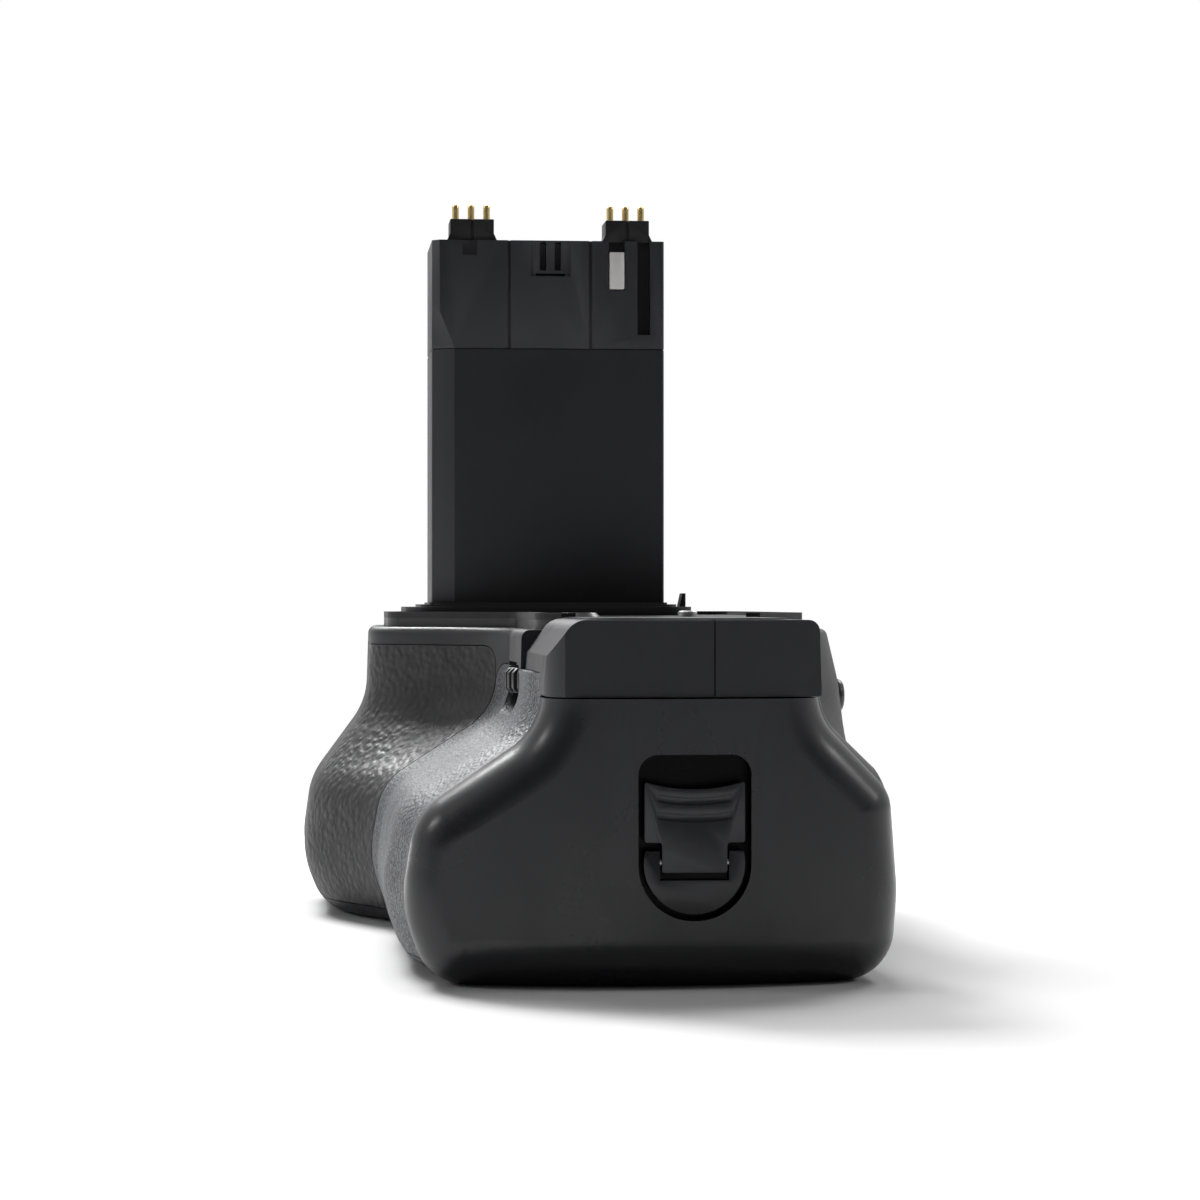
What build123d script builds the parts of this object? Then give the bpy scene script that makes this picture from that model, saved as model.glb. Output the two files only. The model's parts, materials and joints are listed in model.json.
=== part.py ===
from build123d import *
import math
import os

# Camera battery grip in millimetres. The origin is on the axis of the attachment screw, in the plane
# that meets the camera. +X runs along the grip to the battery door, -Y is the camera's front, +Z is up.
# Heights are counted from the surface that the grip stands on, and at_height turns them into Z.
os.makedirs("parts", exist_ok=True)

# Clearances and cuts
overrun = 1.0
fit_gap = 0.15
slide_gap = 0.3
running_gap = 0.05
free_gap = 0.35
edge_break = 0.4

# Body
grip_height = 48.0
far_x = -88.0
door_seat_x = 46.0
door_crown_x = 57.0
door_front_depth = 27.4
near_front_depth = 29.6
hand_front_depth = 40.2
near_rear_depth = 38.4
pod_rear_depth = 40.8
swell_end_x = 28.0
hand_start_x = -28.0
hand_full_x = -54.0
pod_start_x = 20.0
pod_full_x = -6.0
far_round = 8.0
rind_depth = 1.0
wall = 2.6
seam_y = 13.0
station_shares = (0.07, 0.14, 0.2, 0.305, 0.41, 0.56, 0.68, 0.8, 0.9, 1)
ramp_lead = 5.2
inner_reach_share = 0.35
least_end_share = 0.15
end_round_shares = (0, 0.1, 0.4, 1)

# Outline corners, from the top front edge down round the foot and up to the top rear edge
near_height_shares = (0.962, 0.700, 0.465, 0.220, 0.0, 0.0, 0.250, 0.521, 0.730, 0.962)
far_height_shares = (0.962, 0.700, 0.437, 0.200, 0.0, 0.0, 0.250, 0.600, 0.790, 0.962)
near_depth_shares = (0.320, 0.330, 0.930, 1.0, 0.865, 0.974, 1.0, 0.974, 0.714, 0.708)
far_depth_shares = (0.720, 0.730, 0.960, 1.0, 0.900, 0.895, 0.965, 1.0, 0.978, 0.930)
near_corner_radii = (1.2, 9.0, 9.0, 16.0, 7.0, 7.0, 20.0, 6.0, 8.0, 1.2)
far_corner_radii = (1.2, 12.0, 12.0, 16.0, 7.0, 9.0, 20.0, 9.0, 8.0, 1.2)
least_corner = 0.4

# Near top block over the battery door
neck_far_x = 14.0
neck_near_x = 56.2
neck_base_height = 37.8
neck_top_height = 47.8
neck_ledge_height = 43.1
neck_front_top = 5.2
neck_front_ledge = 8.6
neck_front_base = 9.0
neck_rear_top = 27.0
neck_rear_base = 27.3
neck_round = 2.0
neck_top_round = 3.0
neck_front_round = 9.0
neck_rear_round = 5.0

# Rubber and panels on the skin
rim_width = 1.2
rubber_corner = 3.0
leather_top_height = 43.3
rubber_top_height = 40.6
thumb_rubber_far_x = -80.0
thumb_rubber_near_x = -24.0
thumb_rubber_top_height = 27.0
panel_far_x = -83.0
panel_near_x = -47.0
panel_low_height = 32.5
panel_high_height = 44.5

# Top plate and gasket
top_plate_thickness = 3.0
top_plate_front_far = 26.5
top_plate_front_middle = 7.0
top_plate_front_near = 2.6
top_plate_rear_far = 34.0
top_plate_rear_near = 24.0
top_plate_near_x = 49.0
top_plate_far_x = -82.0
top_plate_corner = 5.0
plate_ramp_lead = 5.0
gasket_band = 2.0
gasket_height = 0.6
gasket_sink = 0.4

# Tower
tower_near_x = -53.0
tower_far_x = -74.0
tower_front = 19.3
tower_rear = 18.4
tower_foot_height = 41.0
tower_seam_height = 91.3
tower_top_height = 108.8
tower_wall = 1.8
tower_bevel_y = 3.6
tower_bevel_x = 2.2
head_bevel = 1.2
head_groove = 0.5
head_groove_front = 6.8
head_groove_rear = 6.4
block_height = 3.6
block_base_width = 8.3
block_top_width = 7.1
block_front_y = -12.75
block_rear_y = 12.6
block_near_x = -55.0
block_far_x = -62.0
pin_pitch = 2.54
pin_radius = 0.55
pin_stand = 2.8
pin_travel = 1.0
pin_depth = 7.0
pin_row_x = -58.5
tab_width = 2.4
tab_y = 10.7
tab_low_height = 101.0
tab_high_height = 107.0
channel_width = 2.1
channel_y = 15.1
channel_low_height = 93.6
channel_depth = 2.6

# Attachment screw and wheel
screw_radius = 3.1
screw_neck_radius = 2.6
screw_tip = 0.6
wheel_radius = 11.0
wheel_low_height = 37.0
wheel_high_height = 40.6
wheel_ribs = 44
wheel_rib_depth = 0.7
well_radius = 6.5
well_depth = 4.2
bush_length = 3.0
locating_pin_y = 16.0
locating_pin_radius = 1.4
locating_pin_neck_radius = 1.1
locating_pin_tip = 0.2
locating_pin_stand = 0.9
spike_y = 22.0
spike_stand = 3.6
spike_width = 1.1
spike_length = 4.0

# Tripod socket and base
socket_radius = 3.175
socket_depth = 4.4
socket_flange = 7.0
base_pad_length = 62.0
base_pad_width = 34.0
base_pad_thickness = 0.8
base_screw_radius = 1.6
base_screw_height = 1.2

# Batteries, tray and chamber
battery_length = 56.8
battery_width = 38.4
battery_height = 21.0
battery_gap = 0.2
tray_wall = 1.2
tray_floor_height = 5.0
tray_side_height = 19.0
tray_y = 8.4
chamber_wall = 1.0
chamber_gap = 0.35
end_frame_thickness = 2.5
contact_block_depth = 1.6
blade_width = 1.2
blade_count = 4

# Door and latch
door_wall = 3.0
door_face_wall = 3.4
door_round = 6.5
door_crown_radius = 100.0
latch_y = 10.3
knob_height = 16.3
knob_radius = 6.6
recess_radius = 7.4
recess_top_height = 30.4
recess_floor_x = 52.8
recess_floor_wall = 1.6
knob_face_x = 56.0
ear_top_height = 17.9
notch_low_height = 14.1
notch_width = 9.0
lever_face_x = 56.3
lever_thickness = 1.9
lever_width = 13.1
lever_top_height = 26.9
lever_shoulder_height = 19.0
lever_tab_width = 8.5
lever_tab_height = 15.1
lever_pin_height = 16.4
lever_pin_radius = 0.5
lever_dip = 1.0
lever_groove_width = 9.6
lever_groove_depth = 0.35
lever_groove_band = 0.9
cam_radius = 4.2
knob_shaft_radius = 2.3
bolt_thickness = 2.0
bolt_height = 4.0
bolt_front_tip = -17.0
bolt_rear_tip = 31.0
bolt_travel = 2.2
latch_plate_thickness = 0.8
keeper_depth = 1.5
keeper_wall = 1.2

# Controls
shutter_y = -26.5
shutter_height = 15.5
shutter_radius = 4.6
shutter_stand = 1.6
shutter_travel = 0.9
function_y = -17.0
function_height = 17.5
function_radius = 2.4
small_button_stand = 0.9
small_button_travel = 0.5
dial_x = -80.6
dial_y = -19.0
dial_height = 33.0
dial_radius = 8.4
dial_width = 6.0
dial_ribs = 36
dial_rib_depth = 0.5
dial_shaft_radius = 1.2
switch_y = 14.0
switch_height = 36.0
switch_radius = 3.6
switch_stand = 2.2
switch_arm = 7.0
rear_button_radius = 3.0
rear_button_height = 38.5
rear_button_x = -76.0
rear_button_pitch = 10.5
stick_x = -12.0
stick_height = 36.0
stick_radius = 2.6
stick_stand = 1.1
stick_collar_radius = 4.4
board_thickness = 1.2

# Places on the housing
near_full_share = 0.98
bush_radius = 5.2
socket_wall = 1.9
scoop_margin = 0.9
scoop_half_length = 12.0
scoop_low_height = 34.0
scoop_floor_y = 6.8
base_pad_y = 3.0
base_pad_corner = 8.0
base_screw_near_x = 38.0
base_screw_far_x = -70.0
base_screw_front_y = -16.5
base_screw_rear_y = 26.0
base_screw_sink = 0.2
switch_stem_radius = 1.6

# Places on the top and the tower
top_screw_inset = 5.0
collar_widths = (4.4, 2.0, 0.5)
collar_rises = (1.4, 0.4, 0.3)
spike_x = -60.0
head_bevel_rise = 6.0
frame_y = -0.1
frame_width = 6.5
frame_low_height = 103.0
frame_rise = 5.2
frame_slot_offset = 1.2
frame_slot_width = 1.0
frame_bar_width = 4.8
mark_y = -13.2
mark_width = 2.4
pin_foot_height = 105.2
block_flare_share = 0.35
tab_proud = 0.2
rib_width_share = 0.5
screw_foot_height = 33.5
post_radius = 5.5

# Inside the chamber
connector_width = 24.0
connector_height = 8.0
side_contact_height = 13.0
blade_sink = 0.8
window_share = 0.2
board_x = (-46.0, -10.0)
board_y = (-7.5, 26.0)
board_lift = 1.5
chip_place_shares = (0.25, 0.5, 0.8)
chip_sizes = (7.0, 10.0, 5.0)

# Door and latch details
door_gap = 0.2
door_top_height = 37.6
recess_corner = 2.6
door_boss_radius = 2.5
door_screw_spread = 17.0
door_screw_low = 8.5
door_screw_high = 23.5
notch_floor_x = 53.7
lever_axis_x = 55.35
pin_half_length = 6.2
knob_shaft_drop = 0.1
lever_groove_drops = (1.15, 3.35)

# Inside the controls
shutter_skirt = 7.4
bracket_wall = 1.2
bracket_half_height = 2.5
rear_button_face_y = 39.7
rear_button_length = 5.0
stick_face_y = 39.9
stick_pivot_y = 33.5
stick_stem_radius = 1.0
stick_ring_radius = 3.4
stick_ring_depth = 1.4
stick_box_half = 5.0
stick_seat_y = 36.0


def at_height(height):
    return height - grip_height


def mix(start, end, share):
    return start + (end - start) * share


def ease(x, start, end):
    """Runs smoothly from 0 at start to 1 at end."""
    share = min(max((x - start) / (end - start), 0), 1)
    return share * share * (3 - 2 * share)


def block(x_span, y_span, height_span):
    """Box between two limits each way, with its heights counted from the floor."""
    spans = (x_span, y_span, tuple(at_height(h) for h in height_span))
    size = [abs(b - a) for a, b in spans]
    middle = [(a + b) / 2 for a, b in spans]
    return Pos(*middle) * Box(*size)


def upright(x, y, radius, height_span):
    low, high = (at_height(h) for h in height_span)
    return Pos(x, y, (low + high) / 2) * Cylinder(radius, high - low)


def along_x(y, height, radius, x_span):
    low, high = x_span
    return Pos((low + high) / 2, y, at_height(height)) * Rot(0, 90, 0) * Cylinder(radius, high - low)


def along_y(x, height, radius, y_span):
    low, high = y_span
    return Pos(x, (low + high) / 2, at_height(height)) * Rot(90, 0, 0) * Cylinder(radius, high - low)


def slab(points, corner, height_span):
    """Upright prism on a plan outline whose corners are rounded by one radius or a list of them."""
    low, high = (at_height(h) for h in height_span)
    plan = make_face(FilletPolyline(*points, radius=corner, close=True).edges())
    return Pos(0, 0, low) * extrude(plan, amount=high - low)


def across_prism(points, corner, x_span):
    """Prism along X on an outline of (Y, height) points whose corners are rounded."""
    low, high = x_span
    places = [(y, at_height(h)) for y, h in points]
    face = Plane.YZ.offset(low) * make_face(FilletPolyline(*places, radius=corner, close=True).edges())
    return extrude(face, amount=high - low)


def side_prism(points, corner, y_span):
    """Prism along Y on an outline of (X, height) points whose corners are rounded."""
    low, high = y_span
    places = [(x, at_height(h)) for x, h in points]
    face = make_face(FilletPolyline(*places, radius=corner, close=True).edges())
    return Plane.XZ.offset(-high) * extrude(face, amount=high - low)


def body_outline(x):
    """Corners of the body's outline at x, as (Y, Z), with the radius of each corner."""
    hand_share = ease(x, hand_start_x, hand_full_x)
    pod_share = ease(x, pod_start_x, pod_full_x)
    near_depth = mix(door_front_depth, near_front_depth, ease(x, door_seat_x, swell_end_x))
    front_depth = mix(near_depth, hand_front_depth, hand_share)
    rear_depth = mix(near_rear_depth, pod_rear_depth, pod_share)
    half = len(near_depth_shares) // 2
    points = []
    radii = []
    for i, near_depth_share in enumerate(near_depth_shares):
        front = i < half
        share = hand_share if front else pod_share
        top = i in (0, len(near_depth_shares) - 1)
        height_share = mix(near_height_shares[i], far_height_shares[i], pod_share if top else share)
        depth_share = mix(near_depth_share, far_depth_shares[i], share)
        depth = -front_depth if front else rear_depth
        points.append((depth * depth_share, at_height(grip_height * height_share)))
        radii.append(mix(near_corner_radii[i], far_corner_radii[i], share))
    return points, radii


def inset_outline(points, radii, amount):
    """Moves every side of the outline inwards. Outer corners tighten and inner corners widen."""
    moved = []
    new_radii = []
    for i, (y, z) in enumerate(points):
        before = Vector(y, z) - Vector(*points[i - 1])
        after = Vector(*points[(i + 1) % len(points)]) - Vector(y, z)
        before = before.normalized()
        after = after.normalized()
        normals = Vector(-before.Y, before.X) + Vector(-after.Y, after.X)
        step = normals * (amount / (1 + before.dot(after)))
        moved.append((y + step.X, z + step.Y))
        outer = before.cross(after).Z > 0
        new_radii.append(max(radii[i] - amount, least_corner) if outer else radii[i] + amount)
    return moved, new_radii


def body_section(x, inset):
    points, radii = inset_outline(*body_outline(x), inset)
    return Plane.YZ.offset(x) * make_face(FilletPolyline(*points, radius=radii, close=True).edges())


def body_skin(depth, near_x):
    """The body's outer form, moved in by depth, with its far end rounded."""
    end_x = far_x + depth
    end_radius = far_round - depth
    sections = []
    for share in end_round_shares:
        step = end_radius * (1 - share)
        rounding = end_radius - math.sqrt(end_radius ** 2 - step ** 2)
        sections.append(body_section(end_x + end_radius * share, depth + rounding * (1 - least_end_share)))
    start = end_x + end_radius
    for share in station_shares:
        sections.append(body_section(mix(start, near_x, share), depth))
    return loft(sections)


def inner_form(depth, near_x):
    """Plain inside of the body that stays at least depth inside the skin: straight runs and two ramps."""
    end_x = far_x + far_round - inner_reach_share * (far_round - depth)
    near_run = (pod_start_x - ramp_lead, near_x)
    middle_run = (hand_start_x - ramp_lead, pod_full_x - ramp_lead / 2)
    far_run = (end_x, hand_full_x - ramp_lead / 2)
    form = straight_run(door_seat_x, depth, near_run)
    form += straight_run(middle_run[1], depth, middle_run)
    form += straight_run(far_run[1], depth, far_run)
    form += ramp(door_seat_x, near_run[0], middle_run[1], middle_run[1], depth)
    return form + ramp(middle_run[1], middle_run[0], far_run[1], far_run[1], depth)


def straight_run(section_x, depth, x_span):
    """The body's section at section_x, moved in by depth and drawn along x_span."""
    low, high = x_span
    face = body_section(section_x, depth)
    return Pos(low - section_x, 0, 0) * extrude(face, amount=high - low, dir=(1, 0, 0))


def ramp(near_section, near_x, far_section, far_x_end, depth):
    """Straight-sided passage from one section to another."""
    near = Pos(near_x - near_section, 0, 0) * body_section(near_section, depth)
    far = Pos(far_x_end - far_section, 0, 0) * body_section(far_section, depth)
    return loft([far, near], ruled=True)


def over_floor(solid):
    """Keeps what lies above the surface that the grip stands on."""
    reach = 2 * pod_rear_depth
    room = block((far_x - overrun, door_crown_x), (-reach, reach), (0, 2 * grip_height))
    return solid & room


def neck_block():
    """Near top block that reaches over the battery door."""
    points = [
        (-neck_front_top, neck_top_height),
        (-neck_front_ledge, neck_ledge_height),
        (-neck_front_base, neck_base_height),
        (neck_rear_base, neck_base_height),
        (neck_rear_top, neck_top_height),
    ]
    corners = [neck_top_round, edge_break, edge_break, edge_break, neck_top_round / 2]
    neck = across_prism(points, corners, (neck_far_x, neck_near_x + neck_round))
    plan = [
        (neck_near_x + neck_round, -neck_front_base),
        (neck_near_x + neck_round, neck_rear_base),
        (neck_far_x, neck_rear_base),
        (neck_far_x, -neck_front_base),
    ]
    rounds = [neck_front_round, neck_rear_round, edge_break, edge_break]
    neck = neck & slab(plan, rounds, (neck_base_height, neck_top_height))
    return neck & crown(door_crown_x - neck_near_x)


def top_plan(inset):
    """Plan outline of the plate that meets the camera."""
    return [
        (top_plate_near_x - inset, -top_plate_front_near + inset),
        (neck_far_x - overrun, -top_plate_front_near + inset),
        (neck_far_x - 3 * neck_round, -top_plate_front_middle + inset),
        (hand_start_x - plate_ramp_lead, -top_plate_front_middle + inset),
        (hand_full_x + overrun, -top_plate_front_far + inset),
        (top_plate_far_x + inset, -top_plate_front_far + inset),
        (top_plate_far_x + inset, top_plate_rear_far - inset),
        (pod_full_x, top_plate_rear_far - inset),
        (neck_far_x, top_plate_rear_near - inset),
        (top_plate_near_x - inset, top_plate_rear_near - inset),
    ]


def patch(points, corner, y_span):
    """A piece of the rind inside an (X, height) outline, and the cutter that makes its recess."""
    region = side_prism(points, corner, y_span)
    grown = side_prism(grow(points, fit_gap), corner + fit_gap, y_span)
    return (region & outer_skin) - rind_floor, grown - rind_floor


def grow(points, gap):
    """Moves the corners of a closed outline outwards by gap, away from their middle."""
    moved, _ = inset_outline(points, [gap] * len(points), -gap)
    return moved


def rectangle(x_span, height_span):
    """Corners of an (X, height) rectangle, counter-clockwise."""
    (x0, x1), (low, high) = x_span, height_span
    return [(x0, low), (x1, low), (x1, high), (x0, high)]


# Spans that several pieces share
bay_length = battery_length + battery_gap
bay_width = battery_width + 2 * battery_gap
battery_base = tray_floor_height + tray_wall
chamber_low = tray_floor_height - battery_gap
chamber_high = battery_base + battery_height + chamber_gap
tray_near_x = door_seat_x
bay_pitch = bay_length + contact_block_depth + tray_wall
tray_far_x = door_seat_x - 2 * bay_pitch - tray_wall
tray_half = bay_width / 2 + tray_wall
chamber_half = tray_half + chamber_gap
chamber_far_x = tray_far_x - slide_gap - contact_block_depth
frame_far_x = door_seat_x - end_frame_thickness
liner_span = (chamber_far_x - chamber_wall, frame_far_x)
liner_y = (tray_y - chamber_half - chamber_wall, tray_y + chamber_half + chamber_wall)
chamber_y = (tray_y - chamber_half, tray_y + chamber_half)
plate_low = grip_height - top_plate_thickness
lever_back_x = lever_face_x - lever_thickness
plate_x = (door_seat_x, door_seat_x + latch_plate_thickness)
bolt_x = (plate_x[1] + slide_gap, plate_x[1] + slide_gap + bolt_thickness)
cam_x = (bolt_x[1] + slide_gap, recess_floor_x - recess_floor_wall - slide_gap)
bolt_heights = (knob_height - bolt_height / 2, knob_height + bolt_height / 2)
rear_button_places = [rear_button_x + i * rear_button_pitch for i in range(3)]



def body_top():
    """Wall round the wheel, the well and the tower that joins the skin."""
    boss = upright(0, 0, well_radius + wall, (wheel_high_height + free_gap, grip_height - well_depth + fit_gap))
    return boss


def housing():
    """Both shells in one, before they part at the seam."""
    top_recess = (plate_low, grip_height + overrun)
    chamber_room = (chamber_low - chamber_wall, chamber_high + chamber_wall)
    wheel_room = (wheel_low_height - free_gap, wheel_high_height + free_gap)
    outer_cuts = [
        slab(top_plan(-fit_gap), top_plate_corner + fit_gap, top_recess),
        tower_plan(fit_gap, (tower_foot_height - overrun, grip_height)),
        wheel_scoop(),
        base_pad_solid(fit_gap, overrun),
        upright(0, 0, socket_flange, (-overrun, base_screw_height)),
        upright(0, 0, socket_radius + socket_wall, (-overrun, wall + overrun)),
    ]
    inner_cuts = [
        upright(0, 0, well_radius, (grip_height - well_depth, grip_height)),
        upright(0, 0, bush_radius, (wheel_high_height, grip_height)),
        upright(0, 0, wheel_radius + free_gap, wheel_room),
        upright(0, locating_pin_y, locating_pin_neck_radius, (plate_low - wall, grip_height)),
        block(liner_span, liner_y, chamber_room),
    ]
    reach = (-near_front_depth, near_rear_depth)
    neck_room = block((neck_far_x, door_crown_x), reach, (neck_base_height, grip_height))
    shell = outer_skin - neck_room + neck_block()
    shell = shell - [front_rubber_seat, leather_seat, thumb_seat, panel_seat]
    shell = shell - (outer_cuts + base_screw_cuts() + control_cuts())
    shell = shell - cavity + body_top()
    return shell - inner_cuts


def tower_plan(gap, height_span, bevel=None):
    """Upright prism of the tower's plan, grown by gap."""
    bevel_y, bevel_x = bevel or (tower_bevel_y, tower_bevel_x)
    points = [
        (tower_near_x + gap, -tower_front - gap + bevel_y),
        (tower_near_x + gap, tower_rear + gap),
        (tower_far_x - gap, tower_rear + gap),
        (tower_far_x - gap, -tower_front - gap),
        (tower_near_x + gap - bevel_x, -tower_front - gap),
    ]
    return slab(points, edge_break, height_span)


def wheel_scoop(grown=0):
    """Finger recess in the front of the body round the wheel."""
    low = scoop_low_height - grown
    high = wheel_high_height + scoop_margin + grown
    half = scoop_half_length + grown
    corner = (high - low) / 2 * near_full_share
    reach = (-wheel_radius - wall, -scoop_floor_y)
    return side_prism(rectangle((-half, half), (low, high)), corner, reach)


def base_pad_solid(gap, below=0):
    half_length = base_pad_length / 2 + gap
    half_width = base_pad_width / 2 + gap
    points = [(-half_length, -half_width), (half_length, -half_width), (half_length, half_width), (-half_length, half_width)]
    moved = [(x, y + base_pad_y) for x, y in points]
    return slab(moved, base_pad_corner, (-below, base_pad_thickness))


def base_screw_places():
    return [(x, y) for x in (base_screw_near_x, base_screw_far_x) for y in (base_screw_front_y, base_screw_rear_y)]


def base_screw_cuts():
    cuts = []
    for x, y in base_screw_places():
        cuts.append(upright(x, y, base_screw_radius + fit_gap, (-overrun, base_screw_height)))
        cuts.append(upright(x, y, base_screw_radius / 2, (-overrun, wall + overrun)))
    return cuts


def base_screws():
    screws = []
    for x, y in base_screw_places():
        head = upright(x, y, base_screw_radius, (base_screw_sink, base_screw_height))
        shank = upright(x, y, base_screw_radius / 2, (base_screw_height, wall + base_screw_radius))
        screws.append(head + shank)
    return Compound(children=screws)


def control_cuts():
    """Holes in the skin for the buttons, dial, switch and stick."""
    end_reach = (far_x - overrun, far_x + wall + far_round)
    cuts = [
        along_x(shutter_y, shutter_height, shutter_radius + slide_gap, end_reach),
        along_x(function_y, function_height, function_radius + slide_gap, end_reach),
        along_x(switch_y, switch_height, switch_stem_radius + running_gap, end_reach),
        along_y(dial_x, dial_height, dial_radius + slide_gap, (dial_y - dial_width / 2 - slide_gap, dial_y + dial_width / 2 + slide_gap)),
        along_y(stick_x, stick_height, stick_collar_radius, (pod_rear_depth - 2 * wall, pod_rear_depth + overrun)),
    ]
    return cuts + rear_button_cuts()


def rear_button_cuts():
    reach = (pod_rear_depth - 3 * wall, pod_rear_depth + overrun)
    return [along_y(x, rear_button_height, rear_button_radius + slide_gap, reach) for x in rear_button_places]


def top_plate():
    """Plate that meets the camera, let in for the gasket and for the foot of the tower."""
    through = (plate_low - overrun, grip_height + overrun)
    sunk = (grip_height - gasket_sink, grip_height + overrun)
    plate = slab(top_plan(0), top_plate_corner, (plate_low, grip_height))
    plate -= tower_plan(fit_gap, through)
    plate -= upright(0, 0, well_radius, through)
    plate -= gasket_ring(fit_gap, sunk)
    plate -= collar_step(collar_widths[0] + fit_gap, sunk)
    plate -= upright(0, locating_pin_y, locating_pin_neck_radius, through)
    plate -= upright(0, locating_pin_y, locating_pin_radius + fit_gap, sunk)
    plate -= spike_slab(0, through)
    for x, y in top_screw_places():
        head_room = (grip_height - base_screw_height, grip_height + overrun)
        plate -= upright(x, y, base_screw_radius + fit_gap, head_room)
        plate -= upright(x, y, base_screw_radius / 2, through)
    return plate


def top_screw_places():
    inset = top_screw_inset
    far_front = (hand_start_x - 3 * inset, -2 * inset)
    far_rear = (top_plate_far_x + inset, top_plate_rear_far - inset)
    near_front = (top_plate_near_x - inset, -top_plate_front_near + inset)
    near_rear = (top_plate_near_x - inset, top_plate_rear_near - inset)
    middle_rear = (pod_full_x - inset, top_plate_rear_far - inset)
    return [far_front, far_rear, near_front, near_rear, middle_rear]


def top_screws():
    screws = []
    for x, y in top_screw_places():
        head = upright(x, y, base_screw_radius, (grip_height - base_screw_height, grip_height - base_screw_sink))
        shank = upright(x, y, base_screw_radius / 2, (plate_low, grip_height - base_screw_height))
        screws.append(head + shank)
    return Compound(children=screws)


def gasket_ring(gap, height_span):
    """Band along the edge of the far part of the top plate, grown by gap."""
    low, high = height_span
    taller = (low - overrun, high + overrun)
    inset = gasket_band + gap
    band = slab(top_plan(-gap), top_plate_corner + gap, height_span)
    band -= slab(top_plan(inset), top_plate_corner - inset, taller)
    near_span = (neck_far_x - neck_round + gap, door_crown_x)
    return band - block(near_span, (-hand_front_depth, top_plate_rear_far + overrun), taller)


def gasket():
    """Raised rubber band round the far part of the top plate, notched where the tower's foot comes near."""
    heights = (grip_height - gasket_sink, grip_height + gasket_height)
    return gasket_ring(0, heights) - collar_step(collar_widths[0] + fit_gap, (grip_height - overrun, heights[1] + overrun))


def collar_step(grown, height_span):
    """Upright block on the tower's rectangle, grown by one width all round."""
    x_span = (tower_far_x - grown, tower_near_x + grown)
    return slab(rectangle(x_span, (-tower_front - grown, tower_rear + grown)), grown, height_span)


def tower_collar():
    """Stepped foot of the tower on the top plate."""
    collar = None
    top = grip_height
    for grown, rise in zip(collar_widths, collar_rises):
        top += rise
        step = collar_step(grown, (grip_height - gasket_sink, top))
        collar = step if collar is None else collar + step
    through = (grip_height - overrun, top + overrun)
    return collar - spike_slab(fit_gap, through) - tower_plan(fit_gap, through)


def spike_slab(gap, height_span):
    points = rectangle((spike_x - spike_length / 2 - gap, spike_x + spike_length / 2 + gap),
                       (spike_y - spike_width / 2 - gap, spike_y + spike_width / 2 + gap))
    return slab(points, spike_width / 4, height_span)


def door_spike():
    """Thin fin that feels whether the camera's battery door is off."""
    fin = spike_slab(0, (plate_low, grip_height + spike_stand))
    slope = across_prism([
        (spike_y - spike_width, grip_height + spike_stand + overrun),
        (spike_y - spike_width, grip_height + spike_width),
        (spike_y - spike_width / 2, grip_height + spike_width),
        (spike_y, grip_height + spike_stand),
        (spike_y, grip_height + spike_stand + overrun),
    ], spike_width / 8, (spike_x - spike_length, spike_x + spike_length))
    return fin - slope


def tower_column():
    column = tower_plan(0, (tower_foot_height, tower_seam_height))
    hollow = slab(rectangle((tower_far_x + tower_wall, tower_near_x - tower_wall - tower_bevel_x / 2),
                            (-tower_front + tower_wall + tower_bevel_y / 2, tower_rear - tower_wall)),
                  edge_break, (tower_foot_height - overrun, tower_seam_height - tower_wall))
    return column - hollow


def tower_head():
    """Head of the tower with its panels, slots and the wells of the contact pins."""
    seam = tower_seam_height
    top = tower_top_height
    head = tower_plan(0, (seam, top), (head_bevel, head_bevel))
    wedge_low = tower_bevel_face(tower_bevel_y, tower_bevel_x, seam)
    wedge_high = tower_bevel_face(head_bevel, head_bevel, seam + head_bevel_rise)
    head -= loft([wedge_low, wedge_high])
    near = tower_near_x
    for y in (-head_groove_front, head_groove_rear):
        head -= block((near - head_groove, near + overrun), (y - head_groove / 2, y + head_groove / 2), (seam, top + overrun))
    head -= block((near - head_groove, near + overrun), (frame_y - frame_width / 2, frame_y + frame_width / 2),
                  (frame_low_height, frame_low_height + frame_rise))
    for y in (frame_y - frame_slot_offset, frame_y + frame_slot_offset):
        head -= block((near - channel_depth, near + overrun), (y - frame_slot_width / 2, y + frame_slot_width / 2),
                      (frame_low_height + frame_slot_width, top - frame_slot_width / 4))
    head -= block((near - channel_depth, near + overrun), (frame_y - frame_bar_width / 2, frame_y + frame_bar_width / 2),
                  (frame_low_height, frame_low_height + head_groove))
    head -= block((near - head_groove, near + overrun), (mark_y - mark_width / 2, mark_y + mark_width / 2), (top - mark_width, top + overrun))
    head -= block((near - channel_depth, near + overrun), (tab_y - tab_width / 2 - fit_gap, tab_y + tab_width / 2 + fit_gap),
                  (tab_low_height - fit_gap, top + overrun))
    head -= block((near - channel_depth, near + overrun), (channel_y - channel_width / 2, channel_y + channel_width / 2),
                  (channel_low_height, top + overrun))
    head -= slab(rectangle((tower_far_x + tower_wall, near - tower_wall - channel_depth), (-tower_front + 2 * tower_wall, tower_rear - tower_wall)),
                 edge_break, (seam - overrun, pin_foot_height - tower_wall))
    for x, y in pin_places():
        head -= upright(x, y, pin_radius + running_gap, (pin_foot_height - pin_travel - slide_gap, top + overrun))
    return head


def tower_bevel_face(bevel_y, bevel_x, height):
    """Corner of the tower's plan that a bevel takes off, with room past both faces."""
    near, front = tower_near_x, -tower_front
    corner = [(near, front + bevel_y), (near - bevel_x, front), (near - bevel_x, front - overrun),
              (near + overrun, front - overrun), (near + overrun, front + bevel_y)]
    return Pos(0, 0, at_height(height)) * make_face(Polyline(*corner, close=True).edges())


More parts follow.
